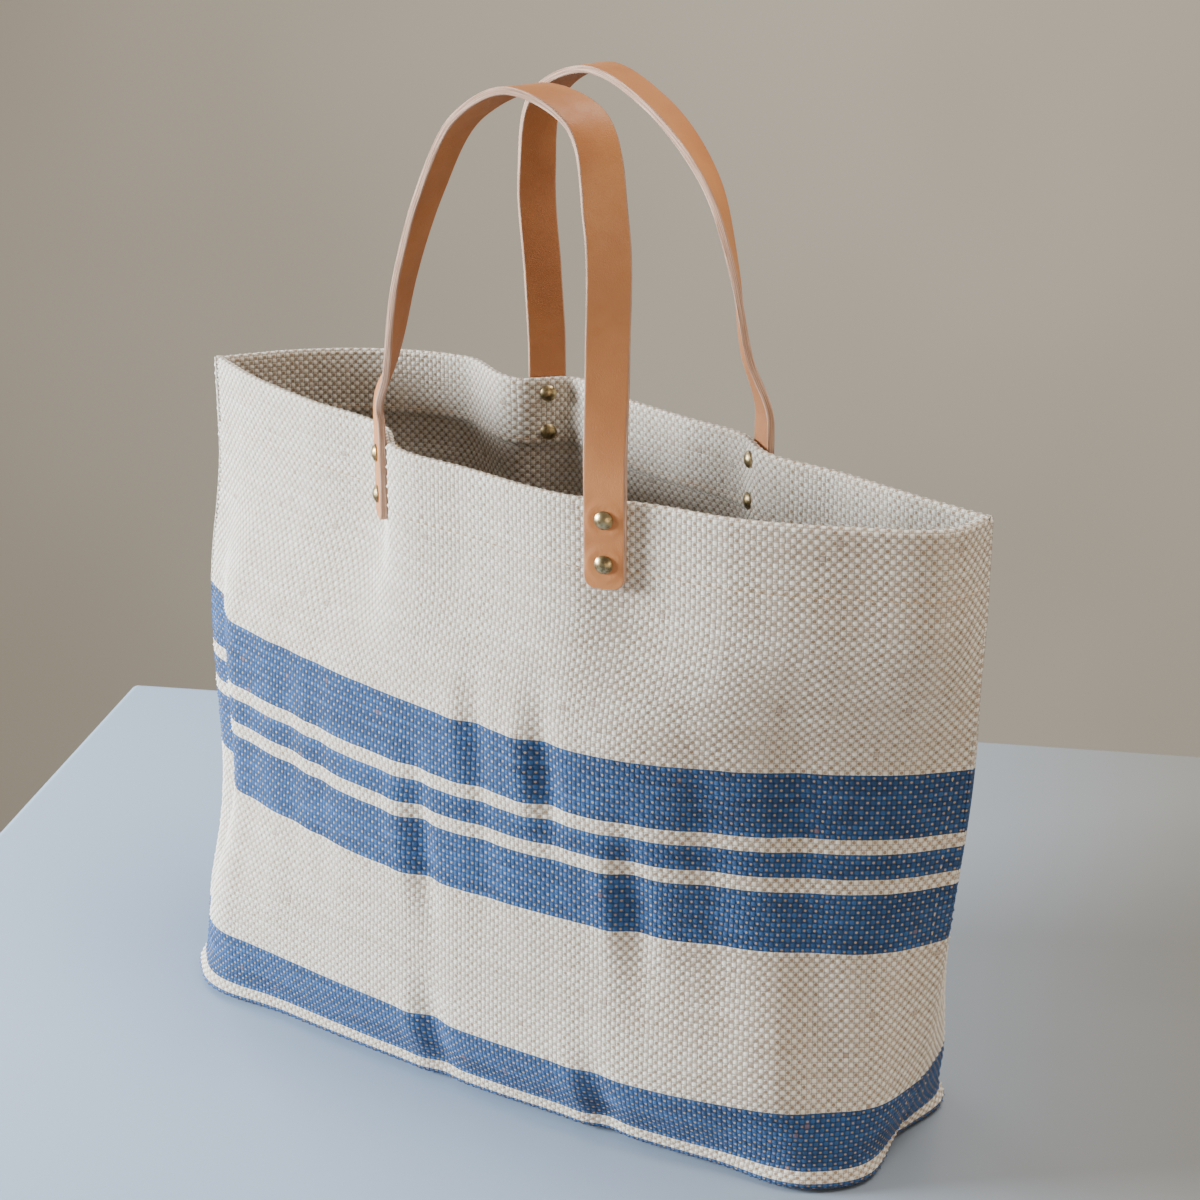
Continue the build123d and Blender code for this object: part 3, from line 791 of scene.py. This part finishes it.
def make_strap(name, left, right, loop, twist, materials, seed):
    rng = np.random.default_rng(seed)
    centre, run, share, total = strap_path(left, right, loop)
    along = np.gradient(centre, run, axis=0)
    along /= np.linalg.norm(along, axis=1, keepdims=True)
    blur = np.hanning(25)
    angle = np.interp(share, *zip(*twist))
    angle = np.convolve(np.pad(angle, 12, mode="edge"), blur / blur.sum(), mode="valid")
    level = np.stack([np.cos(np.radians(angle)), np.sin(np.radians(angle)), np.zeros(len(run))], axis=1)
    across = level - along * np.sum(level * along, axis=1, keepdims=True)
    across /= np.linalg.norm(across, axis=1, keepdims=True)
    normal = np.cross(across, along)
    from_end = np.minimum(run, total - run)
    cut = np.clip(STRAP_CORNER - from_end, 0, STRAP_CORNER)
    half_width = STRAP_WIDTH / 2 - (STRAP_CORNER - np.sqrt(STRAP_CORNER**2 - cut**2))
    half_width = half_width + 0.12 * smooth_noise(rng, len(run), 24)
    wave = 0.10 * smooth_noise(rng, len(run), 16)

    def shape(a, n):
        rise = np.repeat(wave[:, None], a.shape[1], axis=1)
        height_below_rim = TAB_TAIL - from_end[:, None]
        for drop in RIVET_DROPS:
            distance = np.hypot(a, height_below_rim - drop)
            bulge = 0.28 * np.exp(-((distance - 5.9) / 1.3) ** 2) + 0.09 * (distance < 5)
            rise = rise + np.where(n > 0, bulge, 0)
        return rise * np.where(from_end[:, None] < TAB_TAIL + FLEX_HEIGHT, n > 0, True)

    return ribbon(name, centre, across, normal, half_width, STRAP_THICKNESS / 2, 0.55, 27, materials, shape)


def make_tape(name, centre, across, normal, width, thickness, weave, seed, rows):
    """Seam allowance: pressed layers of the bag's cloth with a cut edge that wanders a little.
    Rows are the rows of weft along it, or the one row that it follows."""
    rng = np.random.default_rng(seed)
    half = width / 2 + 0.3 * smooth_noise(rng, len(centre), 5)

    def shape(a, n):
        row = np.arange(len(centre))[:, None]
        bumps = np.sin(math.pi * a / 2.03) * np.sin(math.pi * row / 2 + 0.3)
        return np.sign(n) * 0.22 * bumps

    return ribbon(name, centre, across, normal, half, thickness / 2, min(0.8, thickness / 2.4), 15,
                  [weave], shape, rows)


def even_path(points, step):
    points = np.array(points, float)
    run = np.concatenate([[0], np.cumsum(np.linalg.norm(np.diff(points, axis=0), axis=1))])
    at = np.arange(0, run[-1] + step / 2, step)
    return np.stack([np.interp(at, run, points[:, k]) for k in range(3)], axis=1)


# Build ------------------------------------------------------------------------------------------
weave = woven_cloth()
grain = leather("strap_grain", (0.47, 0.185, 0.055, 1), (0.40, 0.145, 0.040, 1), 1.0, 0.55, coat=0.04)
# The flesh side takes the grain side's colours darkened: painted shade. Its coarser grain and roughness are
# its own.
shaded_flesh = leather("strap_flesh_painted_shade", (0.38, 0.145, 0.044, 1), (0.32, 0.115, 0.034, 1), 1.6, 0.62)
edge = leather_edge()
brass = antique_brass()
thread = thread_material()

for side_name, cad_name, side, folds, seed in (
        ("front", "front", 0, FRONT_FOLDS, 11), ("rear", "back", 1, REAR_FOLDS, 23)):
    panel, wall = make_panel(f"{side_name}_cloth", side, folds, weave, seed)
    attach(panel, "bag")
    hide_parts(f"{cad_name}_panel", f"{cad_name}_base_half")
    hem = make_hem(f"{side_name}_hem", wall, weave, seed + 1)
    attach(hem, "bag")
    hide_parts(f"{cad_name}_hem_facing")

    for seam_share in TOPSTITCH_SHARES:
        course, normals = side_course(wall, seam_share, 0.1, *TOPSTITCH_HEIGHTS)
        seam = "left" if (seam_share < 0.5) == (side == 0) else "right"
        topstitch = running_stitches(f"{side_name}_{seam}_topstitch", course, normals, 0.32, 3.2, thread)
        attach(topstitch, "bag")
    course, normals = hem_course(wall, -0.15, STITCH_HEIGHT)
    outside = running_stitches(f"{side_name}_hem_thread", course, normals, 0.34, 3.4, thread)
    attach(outside, "bag")
    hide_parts(f"{cad_name}_hem_stitching")
    course, normals = hem_course(wall, 2 * CLOTH + 0.15, STITCH_HEIGHT)
    inside = running_stitches(f"{side_name}_hem_thread_inside", course, normals, 0.34, 3.4, thread)
    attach(inside, "bag")

for seam_name, corner, angles in (("left", 0, (5, 5, 8, 14, 15)), ("right", -1, (180, 180, 182, 190, 215))):
    heights = [max(level[0], 3.0) for level in LEVELS[:5]]
    meeting = np.array([[*level[1][corner], height] for level, height in zip(LEVELS, heights)])
    inward = np.array([unit(angle) for angle in angles])
    middle = meeting + inward * (CLOTH + 2.6 + SEAM_WIDTH / 2)
    centre = even_path(middle, 1.0)
    share = np.interp(centre[:, 2], heights, np.arange(len(heights)))
    across = np.stack([np.interp(share, np.arange(len(heights)), inward[:, k]) for k in range(3)], axis=1)
    across /= np.linalg.norm(across, axis=1, keepdims=True)
    along = np.gradient(centre, axis=0)
    along /= np.linalg.norm(along, axis=1, keepdims=True)
    across -= along * np.sum(across * along, axis=1, keepdims=True)
    across /= np.linalg.norm(across, axis=1, keepdims=True)
    tape = make_tape(f"{seam_name}_seam_allowance", centre, across, np.cross(across, along), SEAM_WIDTH,
                     SEAM_THICKNESS, weave, 41 + corner, (RIM_HEIGHT - centre[:, 2]) / ROW)
    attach(tape, "bag")
    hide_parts(f"{seam_name}_side_seam")

SIDEWAYS, ACROSS_BASE, UP = np.eye(3)
flat_tapes = [
    ("bottom", "bottom_seam", [(-138, 0, 2.9), (138, 0, 2.9)], ACROSS_BASE, UP, 20.0, 1.5),
    ("left_corner", "left_corner_seam", [(-148, -37, 7.1), (-148, 37, 7.1)], UP, SIDEWAYS, SEAM_WIDTH,
     SEAM_THICKNESS),
    ("right_corner", "right_corner_seam", [(148, -37, 7.1), (148, 37, 7.1)], UP, SIDEWAYS, SEAM_WIDTH,
     SEAM_THICKNESS),
]
for name, node, ends, across, normal, width, thickness in flat_tapes:
    centre = even_path(ends, 1.0)
    lie = np.ones((len(centre), 1))
    tape = make_tape(f"{name}_allowance", centre, across * lie, normal * lie, width, thickness, weave, 51,
                     [BASE_ROW])
    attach(tape, "bag")
    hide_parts(node)

for handle, left, right, loop, twist, seed in (
        ("front_handle", FRONT_LEFT, FRONT_RIGHT, FRONT_LOOP, FRONT_TWIST, 61),
        ("rear_handle", REAR_LEFT, REAR_RIGHT, REAR_LOOP, REAR_TWIST, 67)):
    strap = make_strap(f"{handle}_strap", left, right, loop, twist, [grain, edge, shaded_flesh], seed)
    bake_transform(strap)
    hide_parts(f"{handle}_loop", f"{handle}_left_tab", f"{handle}_right_tab")

for node_name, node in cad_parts.items():
    if "rivet" in node_name:
        node.data.materials.clear()
        node.data.materials.append(brass)

# Surroundings -----------------------------------------------------------------------------------
TABLE_CORNER = (-420.0, 194.0)
TABLE_LENGTH, TABLE_DEPTH, TABLE_THICKNESS = 2600.0, 1700.0, 40.0
TABLE_ANGLE = math.radians(22.9)
WALL_CORNER = (-5200, 1500)
WALL_LENGTH, WALL_DEPTH, WALL_HEIGHT = 9000, 60, 6000
WALL_ANGLE = math.radians(32.7)


def staged_box(name, corner, size, angle, material, bevel):
    """A box whose top far-left corner is given, turned about that corner."""
    length, depth, thickness = (value * MM for value in size)
    bpy.ops.mesh.primitive_cube_add(size=1)
    box = bpy.context.object
    box.name = name
    box.data.transform(Matrix.Diagonal((length, depth, thickness, 1)))
    box.data.transform(Matrix.Translation((length / 2, -depth / 2, -thickness / 2)))
    box.rotation_euler = (0, 0, angle)
    box.location = (corner[0] * MM, corner[1] * MM, 0)
    rounding = box.modifiers.new("rounding", "BEVEL")
    rounding.width = bevel * MM
    rounding.segments = 4
    box.data.materials.append(material)
    return box


staged_box("table", TABLE_CORNER, (TABLE_LENGTH, TABLE_DEPTH, TABLE_THICKNESS), TABLE_ANGLE,
           table_with_painted_light(), 4)
backdrop = staged_box("backdrop", WALL_CORNER, (WALL_LENGTH, WALL_DEPTH, WALL_HEIGHT), WALL_ANGLE,
                      painted_wall(), 2)
backdrop.location.z = WALL_HEIGHT / 2 * MM

world = bpy.data.worlds.new("studio")
bpy.context.scene.world = world
world.use_nodes = True
background = world.node_tree.nodes["Background"]
background.inputs["Color"].default_value = (1.0, 0.90, 0.77, 1)
background.inputs["Strength"].default_value = 0.27


def soft_light(name, location, target, size, power, color):
    data = bpy.data.lights.new(name, "AREA")
    data.shape = "RECTANGLE"
    data.size, data.size_y = size
    data.energy = power
    data.color = color
    light = bpy.data.objects.new(name, data)
    bpy.context.scene.collection.objects.link(light)
    light.location = location
    aim(light, target)


def aim(thing, target):
    x, y, z = (t - p for t, p in zip(target, thing.location))
    thing.rotation_euler = (math.atan2(math.hypot(x, y), -z), 0, math.atan2(-x, y))


soft_light("key", (-1.35, -0.85, 0.45), (-0.05, 0, 0.12), (0.55, 0.55), 112, (0.88, 0.95, 1.0))
soft_light("window", (-1.6, 0.6, 1.1), (0, 0, 0.2), (1.0, 1.0), 14, (0.84, 0.93, 1.0))
soft_light("room", (1.5, -1.2, 0.32), (0.1, 0, 0.15), (1.2, 0.5), 16, (1.0, 0.82, 0.62))
soft_light("wall_light", (0.7, 0.5, 2.4), (0.5, 1.8, 0.7), (1.6, 1.6), 96, (1.0, 0.94, 0.87))

camera_data = bpy.data.cameras.new("camera")
camera_data.lens = 74.7
camera_data.sensor_width = 36
camera = bpy.data.objects.new("camera", camera_data)
bpy.context.scene.collection.objects.link(camera)
camera.location = (0.5259, -0.7814, 0.5468)
aim(camera, (0.0215, 0.005, 0.199))
bpy.context.scene.camera = camera
